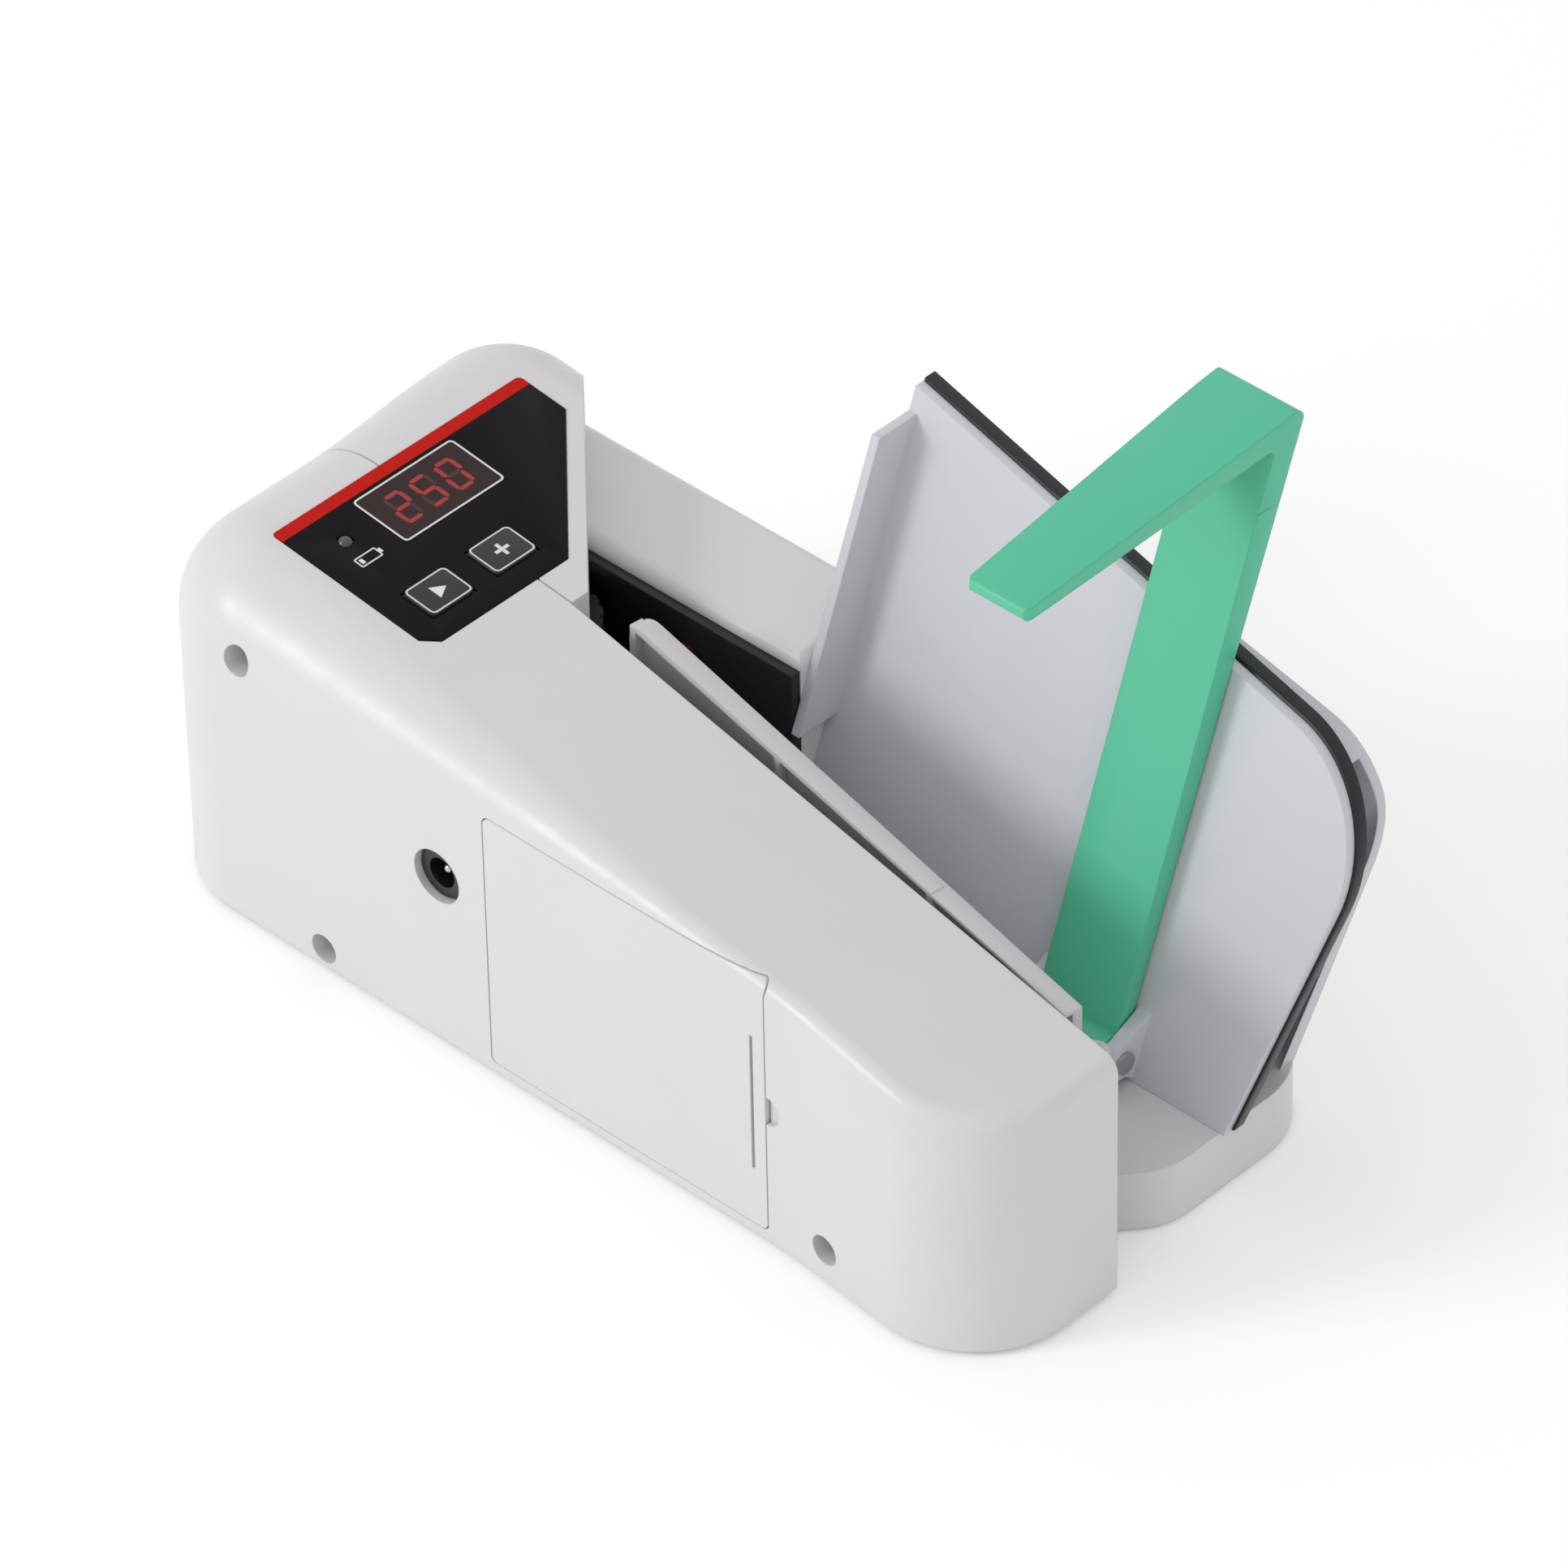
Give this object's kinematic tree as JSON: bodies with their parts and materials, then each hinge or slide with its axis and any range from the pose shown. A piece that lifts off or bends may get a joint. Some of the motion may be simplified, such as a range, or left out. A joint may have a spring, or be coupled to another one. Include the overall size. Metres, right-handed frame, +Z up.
{
  "type": "banknote counting machine",
  "caption": "Portable banknote counter with a sloping body, dark control panel, leaning note hopper, green press lever, sprung flap and a motor-driven feed roller.",
  "frame": {"origin": "middle of the footprint on the table", "axes": "+X along the machine from the display end to the nose, +Y from the front face to the hopper, +Z up"},
  "size_m": [0.2222, 0.1164, 0.1386],
  "materials": {
    "white_plastic": "satin",
    "inner_white": "satin",
    "grey_plastic": "satin",
    "black_plastic": "satin",
    "panel_black": "gloss",
    "stripe_red": "gloss",
    "window_tint": "gloss",
    "display_black": "matt",
    "lamp_red": "gloss",
    "board_green": "satin",
    "steel": "brushed",
    "contact_metal": "plated",
    "gear_white": "satin",
    "rubber_black": "matt",
    "lever_green": "satin"
  },
  "bodies": {
    "housing": {"front_shell": "white_plastic", "rear_shell": "white_plastic", "base_cover": "white_plastic", "slot_wall": "inner_white", "hopper_shell": "grey_plastic", "hopper_back": "grey_plastic", "rim_trim": "black_plastic", "bay_lining": "black_plastic", "drive_chassis": "black_plastic", "battery_box": "black_plastic", "dc_jack": "black_plastic", "shaft_bushes": "black_plastic", "sensor_receiver": "black_plastic", "control_panel": "panel_black", "red_stripe": "stripe_red", "display_window": "window_tint", "sensor_emitter": "window_tint", "display_module": "display_black", "key_switches": "display_black", "battery_lamp": "lamp_red", "main_board": "board_green", "jack_board": "board_green", "board_screws": "steel", "housing_screws": "steel", "cover_screws": "steel", "motor_plate": "steel", "motor_screws": "steel", "idler_axle": "steel", "flap_pin": "steel", "lever_pin": "steel", "feed_motor": "steel", "battery_contacts": "contact_metal", "battery_springs": "contact_metal", "jack_contact": "contact_metal", "rubber_feet": "rubber_black"},
    "door": {"battery_door": "white_plastic"},
    "start_button": {"start_key": "panel_black"},
    "add_button": {"add_key": "panel_black"},
    "roller": {"roller_shaft": "steel", "roller_hub": "inner_white", "feed_tyres": "rubber_black", "roller_gear": "gear_white"},
    "idler": {"idler_gear": "gear_white"},
    "motor_rotor": {"motor_shaft": "steel", "motor_pinion": "gear_white"},
    "lever": {"press_lever": "lever_green"},
    "flap": {"receiving_flap": "white_plastic"}
  },
  "joints": [
    {"name": "start_press", "type": "slide", "parent": "housing", "child": "start_button", "axis": [-0.1191, 0, -0.9929], "range_m": [0, 0.00045], "stiffness_N_per_m": 600},
    {"name": "add_press", "type": "slide", "parent": "housing", "child": "add_button", "axis": [-0.1191, 0, -0.9929], "range_m": [0, 0.00045], "stiffness_N_per_m": 600},
    {"name": "door_swing", "type": "hinge", "parent": "housing", "child": "door", "pos_m": [-0.01962, -0.05569, 0.03], "axis": [0, 0, -1], "range_deg": [0, 70]},
    {"name": "lever_swing", "type": "hinge", "parent": "housing", "child": "lever", "pos_m": [0.06588, 0.00768, 0.02], "axis": [1, 0, 0], "range_deg": [0, 32]},
    {"name": "flap_swing", "type": "hinge", "parent": "housing", "child": "flap", "pos_m": [0.09488, -0.01847, 0.033], "axis": [0, 0, 1], "range_deg": [-4, 1.6], "stiffness_Nm_per_rad": 0.05},
    {"name": "roller_spin", "type": "hinge", "parent": "housing", "child": "roller", "pos_m": [-0.05912, 0.00031, 0.04], "axis": [0, 0, 1], "continuous": true},
    {"name": "idler_spin", "type": "hinge", "parent": "housing", "child": "idler", "pos_m": [-0.06817, -0.00874, 0.021], "axis": [0, 0, 1], "continuous": true},
    {"name": "motor_spin", "type": "hinge", "parent": "housing", "child": "motor_rotor", "pos_m": [-0.07665, -0.01723, 0.021], "axis": [0, 0, 1], "continuous": true}
  ],
  "couplings": [
    {"joint": "idler_spin", "follows": "roller_spin", "ratio": -0.6},
    {"joint": "motor_spin", "follows": "roller_spin", "ratio": 1.2}
  ]
}
